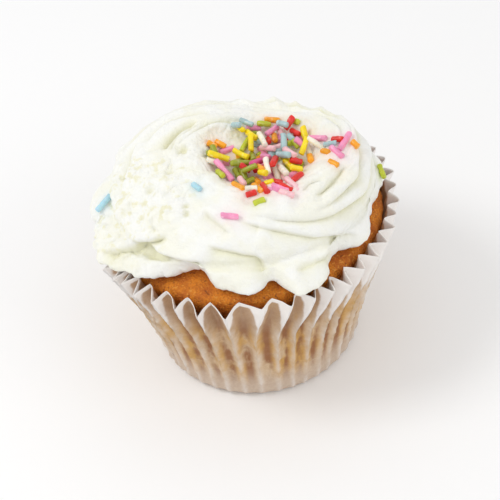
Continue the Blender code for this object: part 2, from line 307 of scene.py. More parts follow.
# %% Build the paper case
base_shares = np.array([0.25, 0.5, 0.75, 0.9])
low_heights = CORNER_RADIUS * (1 - np.cos(np.linspace(0, 1, 7)[:-1] * np.pi / 2))
high_heights = CORNER_RADIUS + (CASE_HEIGHT - CORNER_RADIUS) * np.linspace(0, 1, CASE_ROWS - 6) ** 0.85
heights = np.concatenate([low_heights, high_heights])
rings, bare_rows = [], []
for height in heights:
    up = height / CASE_HEIGHT
    azimuth = azimuth_of(up)
    wave = wave_of(up)
    on_ridge = (1 + wave) / 2
    radius = wall_radius(height) + rim_spread(azimuth, height) + opening(height, up) * wave
    radius = radius + up**6 * on_ridge * along_pleats(ridge_reach)
    lift = -(up**8) * on_ridge**2 * along_pleats(ridge_droop)
    ring = np.stack([radius * np.cos(azimuth), radius * np.sin(azimuth), height + lift], axis=-1)
    rings.append(ring)
    start = bare_start[own_ridge]
    clean = -0.09 + (0.11 + bare_width[own_ridge]) * np.clip((up - start) / (1 - start), 0, 1) ** 1.6 - fold_of
    bare_rows.append(np.maximum(clean, 0.3 * smoothstep(0.955, 0.985, up) - 0.15))
rings = np.array(rings)
flat_base = [rings[0] * (share, share, 0) for share in base_shares]
case_rings = np.concatenate([flat_base, rings])
bare = np.concatenate([np.full((len(flat_base), PLEATS * SAMPLES), -1.0), bare_rows])
fold = np.repeat(fold_of[None], len(case_rings), axis=0)
outward = ring_normals(case_rings)
stretched = case_rings * (0.40, 0.40, 1.0)
wrinkles = 0.26 * lumps(stretched, 1.5, 21) + 0.14 * lumps(stretched, 0.9, 22)
waves = 0.22 * lumps(case_rings, 5.0, 23) + 0.12 * lumps(case_rings, 2.2, 24)
share_up = case_rings[..., 2] / CASE_HEIGHT
push = (wrinkles * (0.35 + 0.9 * (1 - share_up)) + waves) * smoothstep(0.02, 0.12, share_up)
case_rings = case_rings + outward * push[..., None]
case_rings[..., 2] = np.maximum(case_rings[..., 2], 0)
paper_case = loft("pleated_paper", case_rings, bottom=(0, 0, 0), marks={"bare": bare, "fold": fold})
thickness = paper_case.modifiers.new("thickness", "SOLIDIFY")
thickness.thickness = PAPER * MILLIMETRE
thickness.offset = -1.0
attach(paper_case, "root")
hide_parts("paper_case")

# %% [markdown]
# ## Sponge
# The cake fills the case and rises in a low dome. Only a ring of its crust shows, between the
# frosting and the paper, but the piece is whole. Its side follows the pleats a little behind
# the paper. Fine pores and low bumps come from two sizes of lumps pushed along the normals.

# %% Build the sponge
DOME_TOP, DOME_DROP, DOME_SHOULDER = 45.2, 4.0, 30.6
CLEARANCE = 0.3
PLEAT_FILL = 0.62
SPONGE_SIDE_TOP = 38.8


def dome_height(radius):
    return DOME_TOP - DOME_DROP * (radius / DOME_SHOULDER) ** 2.2


def sponge_ring(height, fill, gap):
    up = height / CASE_HEIGHT
    azimuth = azimuth_of(up)
    depth = opening(height, up)
    inset = gap + (1 - fill) * depth
    radius = wall_radius(height) + rim_spread(azimuth, height) - inset + fill * depth * wave_of(up)
    return np.stack([radius * np.cos(azimuth), radius * np.sin(azimuth), 0 * radius + height], axis=-1)


floor_height = 3 * CLEARANCE
side = [sponge_ring(floor_height, 0.4, 2.8) * (share, share, 1) for share in (0.5, 0.9)]
for height in np.linspace(2.0, SPONGE_SIDE_TOP, 14):
    fill = PLEAT_FILL * (1 - 0.85 * smoothstep(26, SPONGE_SIDE_TOP, height))
    side.append(sponge_ring(height, fill, 0.6))
shoulder = side[-1]
rim = shoulder[:, :2] / np.linalg.norm(shoulder[:, :2], axis=1, keepdims=True)
shoulder_radius = np.linalg.norm(shoulder[:, :2], axis=1)
for turn in np.radians([18, 36, 54, 72]):
    radius = 30.0 + (shoulder_radius - 30.0) * np.cos(turn)
    height = SPONGE_SIDE_TOP + (dome_height(30.0) - SPONGE_SIDE_TOP) * np.sin(turn)
    side.append(np.concatenate([rim * radius[:, None], np.full((len(rim), 1), height)], axis=1))
for radius in np.concatenate([np.arange(30.0, 19.0, -0.4), np.arange(18.0, 2.0, -2.0)]):
    side.append(np.concatenate([rim * radius, np.full((len(rim), 1), dome_height(radius))], axis=1))
sponge_rings = np.array(side)
outward = ring_normals(sponge_rings)
crust = 0.12 * lumps(sponge_rings, 5.0, 31) + 0.035 * lumps(sponge_rings, 1.2, 32) + 0.04 * lumps(sponge_rings, 0.7, 33)
sponge_rings = sponge_rings + outward * crust[..., None]
sponge = loft("sponge_cake", sponge_rings, bottom=(0, 0, floor_height), top=(0, 0, dome_height(0.0)))
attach(sponge, "root")
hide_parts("sponge")

# %% [markdown]
# ## Frosting: the great shape
# Buttercream was piped round in a swirl and pressed down on the left. Its lower turn is a
# skirt that hangs over the sponge in lobes, then comes a groove, an upper turn, a crest, and a
# crater in the middle. A few points of the section are worked out for each azimuth, and a
# smooth curve through them gives the surface. `share` is how far a point is along that curve,
# from 0 under the skirt to 1 in the middle of the crater.

# %% Skirt lobes and section
LOBES = (
    (-160, 41, 38.3, 2.0), (-152, 13, 39.6, 2.0), (-102, 18, 30.9, 3.0), (-93, 15, 32.4, 2.0),
    (-67, 14, 35.6, 4.0), (-32, 28, 33.0, 2.6), (8, 30, 35.0, 2.6), (42, 24, 34.0, 2.2),
    (76, 22, 34.5, 2.2), (110, 22, 35.0, 2.2), (144, 24, 36.0, 2.2), (176, 24, 37.4, 2.2),
)
NOTCH_RADIUS = 22.5
LOBE_SHARPNESS = 0.9
FRONT_EDGE = (
    (-165, 38.0), (-159, 38.4), (-155, 39.0), (-151, 38.0), (-146, 36.0), (-140, 34.5), (-127, 28.2), (-121, 25.9), (-116, 25.7),
    (-108, 29.7), (-99, 30.6), (-92, 32.4), (-87, 30.3), (-81, 27.7), (-78, 30.6), (-76, 34.0),
    (-73, 35.5), (-68, 35.1), (-63, 34.8), (-58, 33.4), (-51, 28.9), (-47, 28.9), (-38, 32.2),
    (-33, 33.2), (-22, 31.1), (-14, 30.7), (-4, 32.5), (4, 34.6), (12, 35.0),
)
SKIRT_RISE, SKIRT_UNDERCUT = 1.6, 2.0
GROOVE, GROOVE_Z = (-0.4, 0.5, 31.8, 27.0), 47.9
UPPER_TURN, UPPER_TURN_Z = (0.3, 0.8, 31.6, 26.6), 50.6
CREST, CREST_Z = (5.2, 2.8, 21.0, 17.8), 57.6
CRATER = np.array([5.0, 1.5, 52.6])


def toward(azimuth, side):
    """1 on the given side of the cake, falling to 0 a quarter turn away and beyond."""
    return np.maximum(0, np.cos(np.radians(azimuth - side)))


def skirt_reach(azimuth):
    """Outer radius of the lower turn: soft lobes all round, with the front edge's own bites."""
    total = np.full(azimuth.shape, math.exp(LOBE_SHARPNESS * NOTCH_RADIUS))
    for centre, half_width, reach, squareness in LOBES:
        away = np.abs((azimuth - centre + 180) % 360 - 180) / half_width
        swell = np.maximum(0, 1 - away**squareness)
        total += np.exp(LOBE_SHARPNESS * (NOTCH_RADIUS + (reach - NOTCH_RADIUS) * swell))
    lobed = np.log(total) / LOBE_SHARPNESS
    front, reach = np.array(FRONT_EDGE).T
    front_part = smoothstep(-165, -156, azimuth) * (1 - smoothstep(4, 12, azimuth))
    shaped = sum(np.interp(azimuth + turn, front, reach) for turn in (-2.0, -1.0, 0.0, 1.0, 2.0)) / 5
    return lobed + (shaped - lobed) * front_part


def on_ellipse(ellipse, azimuth, height):
    x, y, long_radius, short_radius = ellipse
    angle = np.radians(azimuth)
    return np.stack([x + long_radius * np.cos(angle), y + short_radius * np.sin(angle), height + 0 * angle], axis=-1)


def between(start, end, share, rise=0.0):
    return start + (end - start) * share + np.array([0, 0, rise])


def seat_height(radius):
    return np.maximum(CASE_HEIGHT, dome_height(radius)) + 1.5 * CLEARANCE


def frosting_section(azimuth, reach):
    """Nine guide points of the section at each azimuth, from the underside up to the crater."""
    high = 3.6 * toward(azimuth, 135) ** 3
    low = 4.2 * toward(azimuth, 72) ** 4
    seat = seat_height(reach - SKIRT_UNDERCUT)
    contact = on_ellipse((0, 0, reach - SKIRT_UNDERCUT, reach - SKIRT_UNDERCUT), azimuth, seat)
    edge = on_ellipse((0, 0, reach, reach), azimuth, seat + SKIRT_RISE + high / 2)
    groove = on_ellipse(GROOVE, azimuth, GROOVE_Z + high - low / 2)
    turn = on_ellipse(UPPER_TURN, azimuth, UPPER_TURN_Z + high - low / 2)
    crest = on_ellipse(CREST, azimuth, CREST_Z + high / 3 - low)
    crater = CRATER + 0 * crest
    return np.stack([
        contact, edge, between(edge, groove, 0.5, 1.2), groove, turn, between(turn, crest, 0.45, 1.9),
        crest, between(crater, crest, 0.78, 1.3), between(crater, crest, 0.50, -0.8),
    ])


def smooth_curve(guides, places):
    """Points on the curves through the guides, at places counted in guides."""
    last = len(guides) - 1
    start = np.minimum(places.astype(int), last - 1)
    t = (places - start).reshape(-1, *[1] * (guides.ndim - 1))
    a, b, c, d = (guides[np.clip(start + k, 0, last)] for k in (-1, 0, 1, 2))
    return 0.5 * (2 * b + (c - a) * t + (2 * a - 5 * b + 4 * c - d) * t**2 + (3 * b - a - 3 * c + d) * t**3)

# %% [markdown]
# The rows of points are spread so that they're about evenly far apart on the surface, which
# keeps detail equally sharp from the skirt to the crater.

# %% Frosting grid
FROSTING_SIDES, FROSTING_ROWS = 640, 148
azimuths = np.arange(FROSTING_SIDES) * 360 / FROSTING_SIDES - 180
edge_steps = np.stack([30 * np.cos(np.radians(azimuths)), 30 * np.sin(np.radians(azimuths)), 0 * azimuths], axis=-1)
reach = skirt_reach(azimuths) + 0.45 * lumps(edge_steps, 3.5, 41) + 0.35 * lumps(edge_steps, 1.3, 42)
reach = reach + (0.9 * lumps(edge_steps, 2.2, 52) + 0.5 * lumps(edge_steps, 0.9, 53)) * (1 - smoothstep(-140, -115, azimuths))
guides = frosting_section(azimuths, reach)
last_guide = len(guides) - 1
trial = smooth_curve(guides, np.linspace(0, last_guide, 400))
lengths = np.linalg.norm(np.diff(trial, axis=0), axis=-1).mean(axis=1)
walked = np.concatenate([[0], np.cumsum(lengths)]) / lengths.sum()
shares = np.interp(np.linspace(0, 1, FROSTING_ROWS), walked, np.linspace(0, 1, 400))
frosting_rings = smooth_curve(guides, last_guide * shares)
share_of = np.repeat(shares[:, None], FROSTING_SIDES, axis=1)
azimuth_at = np.repeat(azimuths[None], FROSTING_ROWS, axis=0)
plan_x, plan_y = frosting_rings[..., 0], frosting_rings[..., 1]
print("section length in mm:", round(lengths.sum(), 1))

# %% [markdown]
# ## Frosting: creases of the swirl
# Where one turn of cream lies on the last there's a crease: a sharp little valley with a full
# lip on its inner side. Each crease is a short list of (azimuth, share) places. Its depth
# falls off to both sides of that line, faster towards the lip, and fades at its two ends.
# Distances are measured in millimetres on the surface, so creases keep their width anywhere.

# %% Creases
CREASES = (
    # (depth, width, lip, ((azimuth, share), ...))
    (1.5, 1.3, 0.5, ((-66, 0.61), (-57, 0.61), (-48, 0.61), (-41, 0.61), (-32, 0.61), (-27, 0.60), (-18, 0.63), (-10, 0.65), (1, 0.66), (14, 0.64), (30, 0.62))),
    (1.3, 1.2, 0.6, ((-104, 0.69), (-98, 0.67), (-87, 0.65), (-75, 0.61), (-64, 0.58), (-53, 0.56), (-45, 0.55), (-36, 0.54), (-27, 0.52), (-19, 0.54), (-13, 0.55), (-5, 0.55), (10, 0.52), (26, 0.47))),
    (1.2, 1.3, 0.6, ((-106, 0.66), (-96, 0.63), (-86, 0.60), (-77, 0.57), (-67, 0.53), (-55, 0.45), (-46, 0.28), (-33, 0.15))),
    (1.4, 2.0, 0.5, ((-74, 0.27), (-70, 0.28), (-62, 0.28), (-51, 0.15))),
    (1.6, 1.8, 0.7, ((-112, 0.55), (-107, 0.53), (-99, 0.52), (-87, 0.47), (-83, 0.24), (-80, 0.11))),
    (1.5, 1.2, 0.8, ((-62, 0.68), (-54, 0.69), (-46, 0.71), (-38, 0.72), (-30, 0.73))),
    (0.8, 0.7, 0.4, ((-70, 0.73), (-67, 0.74), (-60, 0.77), (-54, 0.76), (-50, 0.73))),
    (2.0, 1.5, 0.6, ((136, 0.79), (146, 0.77), (154, 0.74), (164, 0.72), (173, 0.71))),
    (1.2, 0.9, 0.5, ((140, 0.83), (146, 0.81), (154, 0.79), (162, 0.75), (175, 0.74))),
    (1.5, 1.1, 0.7, ((96, 0.93), (108, 0.92), (124, 0.89), (136, 0.87), (146, 0.86), (160, 0.82), (170, 0.77), (176, 0.77))),
    (0.7, 1.8, 0.3, ((118, 0.78), (129, 0.75), (137, 0.70), (143, 0.67), (151, 0.65), (156, 0.64), (166, 0.64))),
    (1.0, 1.3, 0.4, ((156, 0.59), (162, 0.58), (173, 0.58), (180, 0.57), (185, 0.55), (190, 0.53))),
    (2.2, 1.8, 0.9, ((-158, 0.17), (-153, 0.21), (-147, 0.30), (-138, 0.48), (-133, 0.53), (-129, 0.54))),
    (1.8, 1.5, 0.8, ((-142, 0.40), (-138, 0.40), (-129, 0.40), (-120, 0.39), (-113, 0.41), (-110, 0.43))),
    (1.0, 1.6, 0.3, ((-124, 0.68), (-120, 0.66), (-111, 0.63), (-105, 0.60), (-101, 0.58))),
    (1.3, 1.4, 0.5, ((20, 0.72), (34, 0.71), (50, 0.69), (66, 0.68), (84, 0.66), (100, 0.63), (112, 0.60))),
    (1.2, 1.5, 0.5, ((44, 0.56), (60, 0.55), (78, 0.53), (96, 0.50), (116, 0.46), (134, 0.40))),
    (1.0, 1.4, 0.4, ((88, 0.72), (104, 0.70), (120, 0.66), (138, 0.60), (150, 0.56), (162, 0.50))),
    (1.0, 1.2, 0.4, ((0, 0.80), (18, 0.79), (38, 0.78), (60, 0.77), (80, 0.76))),
)
across = np.gradient(frosting_rings, axis=0) / np.gradient(shares)[:, None, None]
millimetres_per_share = np.linalg.norm(across, axis=-1)
millimetres_per_degree = np.hypot(plan_x - CREST[0], plan_y - CREST[1]) * math.pi / 180


def crease_push(depth, width, lip, places):
    """How far one crease moves each point along the normal, in millimetres."""
    line_azimuth, line_share = np.array(places, float).T
    centre = (line_azimuth[0] + line_azimuth[-1]) / 2
    azimuth = centre + (azimuth_at - centre + 180) % 360 - 180
    steps = np.arange(line_azimuth[0], line_azimuth[-1] + 0.5, 0.5)
    line = np.interp(steps, line_azimuth, line_share)
    soft = np.convolve(np.pad(line, 6, mode="edge"), np.ones(13) / 13, mode="valid")
    share = np.interp(azimuth, steps, soft)
    slope = np.interp(azimuth, steps, np.gradient(soft, 0.5))
    slope = slope * millimetres_per_share / np.maximum(millimetres_per_degree, 0.05)
    away = (share_of - share) * millimetres_per_share / np.sqrt(1 + slope**2)
    fade = (line_azimuth[-1] - line_azimuth[0]) * 0.22
    ends = smoothstep(0, fade, azimuth - line_azimuth[0]) * smoothstep(0, fade, line_azimuth[-1] - azimuth)
    outer = -depth * np.exp(-np.abs(away) / width)
    inner = -depth * np.exp(-np.abs(away) / (0.4 * width))
    full = lip * np.clip(away / width, 0, None) * np.exp(1 - np.clip(away / width, 0, None))
    return np.where(away < 0, outer, inner + full) * ends


creases = sum(crease_push(*crease) for crease in CREASES)
print(len(CREASES), "creases, deepest", round(-creases.min(), 1), "mm")

# %% [markdown]
# ## Frosting: ripples, crumbs and peaks
# The star nozzle leaves fine ripples that wind inwards with the swirl. On the left the cream
# was scraped and caught crumbs, so it's lumpy there with a few open pits. Behind, the
# nozzle's teeth pulled small peaks on the crest, and round the heap of strands the cream
# bulges in soft petals. Each is a push along the normal, masked to its own place.

# %% Ripples, crumbs and peaks
SOFT_LIMIT, LIMIT_ROOM = 58.4, 1.0
PITS = ((-22, -6, 0.9, 1.3), (-14, -13, 0.8, 1.5), (-14, -15, 0.7, 1.1), (-17, -2, 0.8, 1.2), (-22, -16, 0.7, 0.8), (-29, -8, 0.8, 0.7), (-27, -7, 0.7, 0.6), (-13.5, 4.5, 1.3, 2.0))
PEAKS = ((110, 0.62, 2.4, 0.6), (92, 0.63, 2.2, 1.5), (74, 0.63, 2.6, 2.2), (62, 0.64, 2.0, 1.6), (46, 0.64, 3.0, 1.6), (30, 0.64, 3.0, 0.8))
PETALS = ((9, -16.4, 2.2, 1.0), (4, -16.2, 1.9, 0.9), (14.5, -14, 2.6, 1.0), (18.5, -7.5, 2.6, 0.9), (20.5, -2, 2.4, 0.7), (-9.5, 0, 2.2, 0.8), (-7, -6.5, 2.4, 0.7), (-2, -13.8, 2.0, 0.8), (19.5, 5, 2.2, 0.6))
scraped = 1 - smoothstep(0.72, 1.15, np.hypot((plan_x + 25) / 15, (plan_y + 7) / 14) + 0.15 * lumps(frosting_rings, 4.0, 43))
winding = share_of + 0.0019 * azimuth_at
ripples = np.sin(2 * np.pi * winding / 0.062) * smoothstep(0.5, 0.6, share_of) * (1 - smoothstep(0.80, 0.92, share_of))
ripples = 0.20 * ripples - 0.14 * np.abs(np.sin(2 * np.pi * winding / 0.075)) ** 8 * smoothstep(0.45, 0.6, share_of)
ripples *= (1 - scraped) * (0.6 + 0.4 * lumps(frosting_rings, 12.0, 44))
crumbs = 0.60 * lumps(frosting_rings, 4.2, 45) + 0.34 * lumps(frosting_rings, 1.9, 46) + 0.22 * lumps(frosting_rings, 0.9, 47)
cracks = -0.6 * np.exp(-((lumps(frosting_rings, 5.0, 54) / 0.07) ** 2)) * np.clip(0.5 + lumps(frosting_rings, 6.0, 55), 0, 1)
crumbs += cracks
soft_waves = 0.30 * lumps(frosting_rings, 10.0, 48) + 0.18 * lumps(frosting_rings, 4.5, 49) + 0.11 * lumps(frosting_rings, 1.5, 50)
soft_waves += 0.06 * lumps(frosting_rings, 0.8, 56)
around_heap = np.hypot((plan_x - 5) / 17, (plan_y - 1.5) / 15)
broken = smoothstep(0.55, 0.75, around_heap) * (1 - smoothstep(0.95, 1.15, around_heap)) * smoothstep(12, -2, plan_x)
rough = np.maximum(scraped, 0.6 * broken)
pits = 0 * creases
for x, y, radius, depth in PITS:
    ragged = np.hypot(plan_x - x, plan_y - y) / radius + 0.45 * lumps(frosting_rings, 0.9, 51)
    pits -= depth * np.exp(-(ragged**2)) * (share_of > 0.15)
petals = 0 * creases
for x, y, radius, height in PETALS:
    petals += height * np.exp(-(((plan_x - x) ** 2 + (plan_y - y) ** 2) / radius**2) ** 1.5) * (share_of > 0.3)
peaks = 0 * creases
for azimuth, share, width, height in PEAKS:
    sideways = (azimuth_at - azimuth) * millimetres_per_degree / width
    upward = (share_of - share) * millimetres_per_share / (1.3 * width)
    peaks += height * np.exp(-np.abs(sideways) ** 1.5 * 2 - upward**2)
push = creases + ripples + rough * crumbs + soft_waves + pits + petals
push *= smoothstep(0.0, 0.10, share_of)
outward = ring_normals(frosting_rings)
frosting_rings = frosting_rings + outward * push[..., None]
frosting_rings[..., 2] += peaks
over = np.maximum(frosting_rings[..., 2] - SOFT_LIMIT, 0)
frosting_rings[..., 2] += np.tanh(over / LIMIT_ROOM) * LIMIT_ROOM - over
# hollow: how deep a point lies in a crease, pit or crack. The buttercream finish paints shade there.
hollow = np.clip(-(creases + pits + 0.5 * scraped * cracks) / 1.3, 0, 1)
print("scraped share of the surface:", round(float(scraped.mean()), 2))

# %% Build the frosting
under = [frosting_rings[0] * (share, share, 1) for share in (0.3, 0.6, 0.85)]
for ring in under:
    ring[:, 2] = seat_height(np.hypot(ring[:, 0], ring[:, 1]))
frosting_all = np.concatenate([under, frosting_rings])
clear = np.zeros((len(under), FROSTING_SIDES))
frosting = loft(
    "frosting_swirl",
    frosting_all,
    bottom=(0, 0, seat_height(0.0)),
    top=frosting_rings[-1].mean(axis=0),
    marks={"hollow": np.concatenate([clear, hollow]), "scraped": np.concatenate([clear, scraped])},
)
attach(frosting, "root")
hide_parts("frosting")

# %% [markdown]
# ## Sugar strands: how they lie
# The strands are short rods of coloured sugar, about a millimetre and a half thick. They were
# dropped in a heap on the soft cream. Each one here is dropped in the same way: it comes down
# on what lies below, rests on one point on each side of its middle, and then counts as ground
# for the next. `ground` is that height, kept on a fine square grid over the top of the cake.
# A physics run would do the same more slowly and less surely.

# %% Ground under the strands
STRAND_RADIUS = 0.74
HEAP_TOP = 59.4
GRID_STEP = 0.25
GRID_LOW = np.array([-38.0, -30.0])
GRID_SIZE = (304, 240)
bpy.context.view_layer.update()
surface = BVHTree.FromObject(frosting, bpy.context.evaluated_depsgraph_get())
ground = np.full(GRID_SIZE, CASE_HEIGHT)
for column, row in itertools.product(range(GRID_SIZE[0]), range(GRID_SIZE[1])):
    x, y = (GRID_LOW + GRID_STEP * np.array([column, row])) * MILLIMETRE
    hit = surface.ray_cast(Vector((x, y, 0.1)), Vector((0, 0, -1)))[0]
    if hit:
        ground[column, row] = hit.z / MILLIMETRE
bare_cream = ground.copy()
print("cream's highest point in mm:", round(float(ground.max()), 1))


def cells_near(line, radius):
    """Grid cells within a radius of a line of plan points, and how far along and across they are."""
    low = np.maximum(np.floor((line.min(axis=0) - radius - GRID_LOW) / GRID_STEP).astype(int), 0)
    high = np.minimum(np.ceil((line.max(axis=0) + radius - GRID_LOW) / GRID_STEP).astype(int) + 1, GRID_SIZE)
    columns, rows = np.meshgrid(np.arange(low[0], high[0]), np.arange(low[1], high[1]), indexing="ij")
    places = GRID_LOW + GRID_STEP * np.stack([columns, rows], axis=-1)
    return columns, rows, places


def drop(x, y, direction, length, sink):
    """Lets one strand down on the ground. Returns its middle, its unit direction and its half length."""
    angle = math.radians(direction)
    plan = np.array([math.cos(angle), math.sin(angle)])
    half = length / 2 - 0.4 * STRAND_RADIUS
    columns, rows, places = cells_near(np.array([x, y]) + plan * [[-half], [half]], STRAND_RADIUS)
    offset = places - (x, y)
    along, aside = offset @ plan, offset @ (-plan[1], plan[0])
    under = (np.abs(aside) < 0.8 * STRAND_RADIUS) & (np.abs(along) <= half)
    lying = ground[columns, rows] - (STRAND_RADIUS - np.sqrt(np.maximum(STRAND_RADIUS**2 - aside**2, 0)))
    spots = np.linspace(-half, half, 11)
    tops = [lying[under & (np.abs(along - spot) < 0.35)].max(initial=lying[under].min()) for spot in spots]
    best, slope = -1e9, 0.0
    for i, j in itertools.product(range(5), range(6, 11)):
        middle = (tops[i] * spots[j] - tops[j] * spots[i]) / (spots[j] - spots[i])
        if middle > best:
            best, slope = middle, (tops[j] - tops[i]) / (spots[j] - spots[i])
    slope = np.clip(slope, -0.45, 0.45)
    best = max(top - slope * spot for top, spot in zip(tops, spots))
    height = best + STRAND_RADIUS * math.hypot(1, slope) - sink
    height = min(height, HEAP_TOP - STRAND_RADIUS - abs(slope) * half)
    shorter = 1 / math.hypot(1, slope)
    inside = (np.abs(aside) < STRAND_RADIUS) & (np.abs(along) < half * shorter + 0.4)
    back = np.sqrt(np.maximum(STRAND_RADIUS**2 - aside**2, 0))
    top = np.where(inside, height + slope * along + back, -1e9)
    ground[columns, rows] = np.maximum(ground[columns, rows], top)
    return np.array([x, y, height]), np.array([*plan, slope]) * shorter, half

# %% [markdown]
# ## Sugar strands: where they fall
# A few dozen strands that carry the heap's look have their own place: x and y in millimetres,
# direction in degrees and length. Under and between them fall seeded random ones, with greens
# more likely on the left of the heap and reds and pinks at the lower right. A handful of
# strays lie further out on the cream.

# %% Places and colours of the strands
LOWER_LAYER = {
    "pink": (
        (-3, 5.6, 17, 3.8), (-4, 1.8, 0, 3), (9.8, 9.6, -95, 3.4), (5.5, -12.8, -25, 3),
        (7.9, -13.7, -10, 3.2),
    ),
    "orange": (
        (-6.4, 6.1, -29, 2.6), (-4.4, 6.8, -39, 3), (3.3, -6.4, -76, 3.4), (8.7, 15.1, -10, 3.8),
        (8.7, 8.8, -90, 4),
    ),
    "olive": (
        (-6, 4, -76, 3), (-1.2, -2.3, -71, 3.2), (0.3, -3.7, -74, 4.6), (1.3, -6.4, 28, 3.2),
        (4.3, 10.6, -35, 3),
    ),
    "cream": ((-6.3, 0.4, -10, 3.8), (5.9, -4.5, -87, 4.4), (16.3, 2.1, -88, 3), (8, -4.9, -79, 3.8)),
    "red": (
        (1.5, -13.8, 11, 2.6), (0.8, -3.1, -29, 3), (7.2, 7.8, -88, 3.4), (12.7, 8.6, 17, 3.4),
        (7.8, -10.6, -35, 2.6), (9.6, -12.8, -35, 3.6),
    ),
    "blush": ((-0.3, -7.3, -68, 3), (10.3, 11.2, -77, 3), (9.5, 4.9, -10, 3)),
    "yellow": ((4.8, -6.7, -52, 2.8), (6, -10.4, -10, 2.4)),
    "lime": (
        (12.3, 5.1, 30, 2.6), (13.5, 4.1, -60, 2.6), (13.4, -0.9, -29, 2.8), (9.8, 0.8, -29, 3),
        (10.9, -2.8, -88, 3.2),
    ),
    "blue": ((7.4, 2.2, -88, 3.4),),
}
UPPER_LAYER = {
    "pink": (
        (-4.1, -2.8, -58, 6.9), (4, 12.9, 0, 3.5), (8.3, 11, 41, 4.1), (14.4, 7.5, 14, 3.4),
        (14.4, 3.4, -40, 3), (11.4, -7.3, 49, 3.2), (8.3, -12.9, -29, 4.4), (6, 1.2, -49, 3),
    ),
    "orange": ((-1.2, -10.1, -59, 4.8), (3.1, -11.7, -65, 4.2), (4.3, -4.7, -67, 3.4)),
    "olive": ((-6.7, 2.7, -29, 2.6), (1.8, -4.4, -2, 4), (0.1, -1.9, 19, 5.8)),
    "lime": ((-5.2, -3.9, -67, 3.4), (1.5, 7.2, 65, 5.4), (6.6, 13.4, 11, 3.4), (13.9, 13.3, -36, 3)),
    "yellow": (
        (3.2, 9.2, -55, 4.2), (2.9, 6.1, -95, 4.8), (1, 11, -71, 2.6), (0.1, 2.1, -47, 4.8),
        (-5.1, 1.4, -10, 5.4), (15.8, 7.3, -84, 3.4), (15.3, 1.5, 63, 4.6), (11.4, -2.8, -59, 4.4),
        (12.7, -6.1, 2, 3.1),
    ),
    "red": (
        (4.8, -12.2, -78, 4.2), (12.7, 12, 49, 3.8), (13.8, 8.8, -63, 3.9), (12.9, -2.3, 2, 3.1),
        (12.5, -9.7, 49, 3.7), (7.7, -2.7, -103, 4.8),
    ),
    "blue": (
        (2.4, 13.3, -42, 4), (-0.1, 11.5, -39, 2.8), (11, 11.3, -41, 3.3), (10.7, 4.1, -95, 4.1),
        (12.6, 7.5, -70, 3), (10.1, -0.9, -45, 4.3),
    ),
    "blush": (
        (6.7, 3.2, -37, 4.4), (11.6, -0.2, -60, 4.4), (11.3, -11.9, -54, 5.1), (9.6, -15.1, -32, 3.8),
    ),
    "cream": ((5.7, 6, -81, 6.6), (9.5, -5.7, -77, 6.2), (1.7, -12.1, -10, 3)),
    "magenta": ((3.7, -2.3, 46, 4.8),),
}
STRAYS = {
    "pink": ((18.7, 3.8, -34, 4.9), (22.5, -2.7, -53, 4.3), (24.8, 0.6, 61, 6.6), (-4, -18.9, -14, 4.2)),
    "cream": ((18.1, 1.9, -32, 4.9),),
    "blue": ((21.3, 0.2, 0, 3.2),),
    "red": ((23.3, 1.7, -27, 3),),
    "orange": (
        (20, -2.1, -50, 2.4), (16.4, -1.6, -90, 3.2), (21.4, -6.8, -42, 2.8), (27.2, -0.3, -59, 2.3),
    ),
    "lime": ((33.4, 1.1, -77, 3.8), (3.1, -16.5, 10, 2.9)),
    "sky": ((-33.7, -1.1, 45, 5.2), (-10.9, -8.8, -55, 3)),
}
HEAP_COUNT = 24
HEAP_COLOURS = ("yellow", "lime", "olive", "orange", "red", "pink", "blush", "cream", "blue")


def heap_weights(x, y):
    """How likely each colour is at a place in the heap."""
    left = smoothstep(8, -4, x)
    low = smoothstep(0, -8, y)
    return np.array([1.0, 0.8, 0.5 + 2.0 * left, 0.9, 0.9 + low, 1.1 + low, 0.9, 0.9, 0.6])


strand_random = np.random.default_rng(7)
seeded = []
while len(seeded) < HEAP_COUNT:
    x, y = strand_random.normal((6.0, 1.0), (5.0, 5.0))
    if ((x - 6) / 9) ** 2 + ((y - 1) / 10) ** 2 > 1:
        continue
    chances = heap_weights(x, y)
    colour = HEAP_COLOURS[strand_random.choice(len(HEAP_COLOURS), p=chances / chances.sum())]
    seeded.append((colour, x, y, strand_random.uniform(0, 180), strand_random.uniform(3.4, 5.4)))
lying = {}


def lay(colour, x, y, direction, length, sink):
    lying.setdefault(colour, []).append(drop(x, y, direction, length, sink))


for strand in seeded:
    lay(*strand, sink=0.90)
for layer, sink in ((LOWER_LAYER, 0.35), (UPPER_LAYER, 0.20), (STRAYS, 0.45)):
    for colour, places in layer.items():
        for place in places:
            lay(colour, *place, sink=sink)
print({colour: len(strands) for colour, strands in lying.items()})

# %% [markdown]
# ## Sugar strands: one mesh for each colour
# A strand is a rod with rounded shoulders and nearly flat ends, cut a little unevenly and bent
# a touch. All the strands of one colour are joined in one mesh at their true size.

# %% Build the strands
STRAND_SIDES = 14
END_PROFILE = ((0.0, 0.0), (0.0, 0.50), (0.07, 0.80), (0.22, 0.95), (0.50, 1.0))


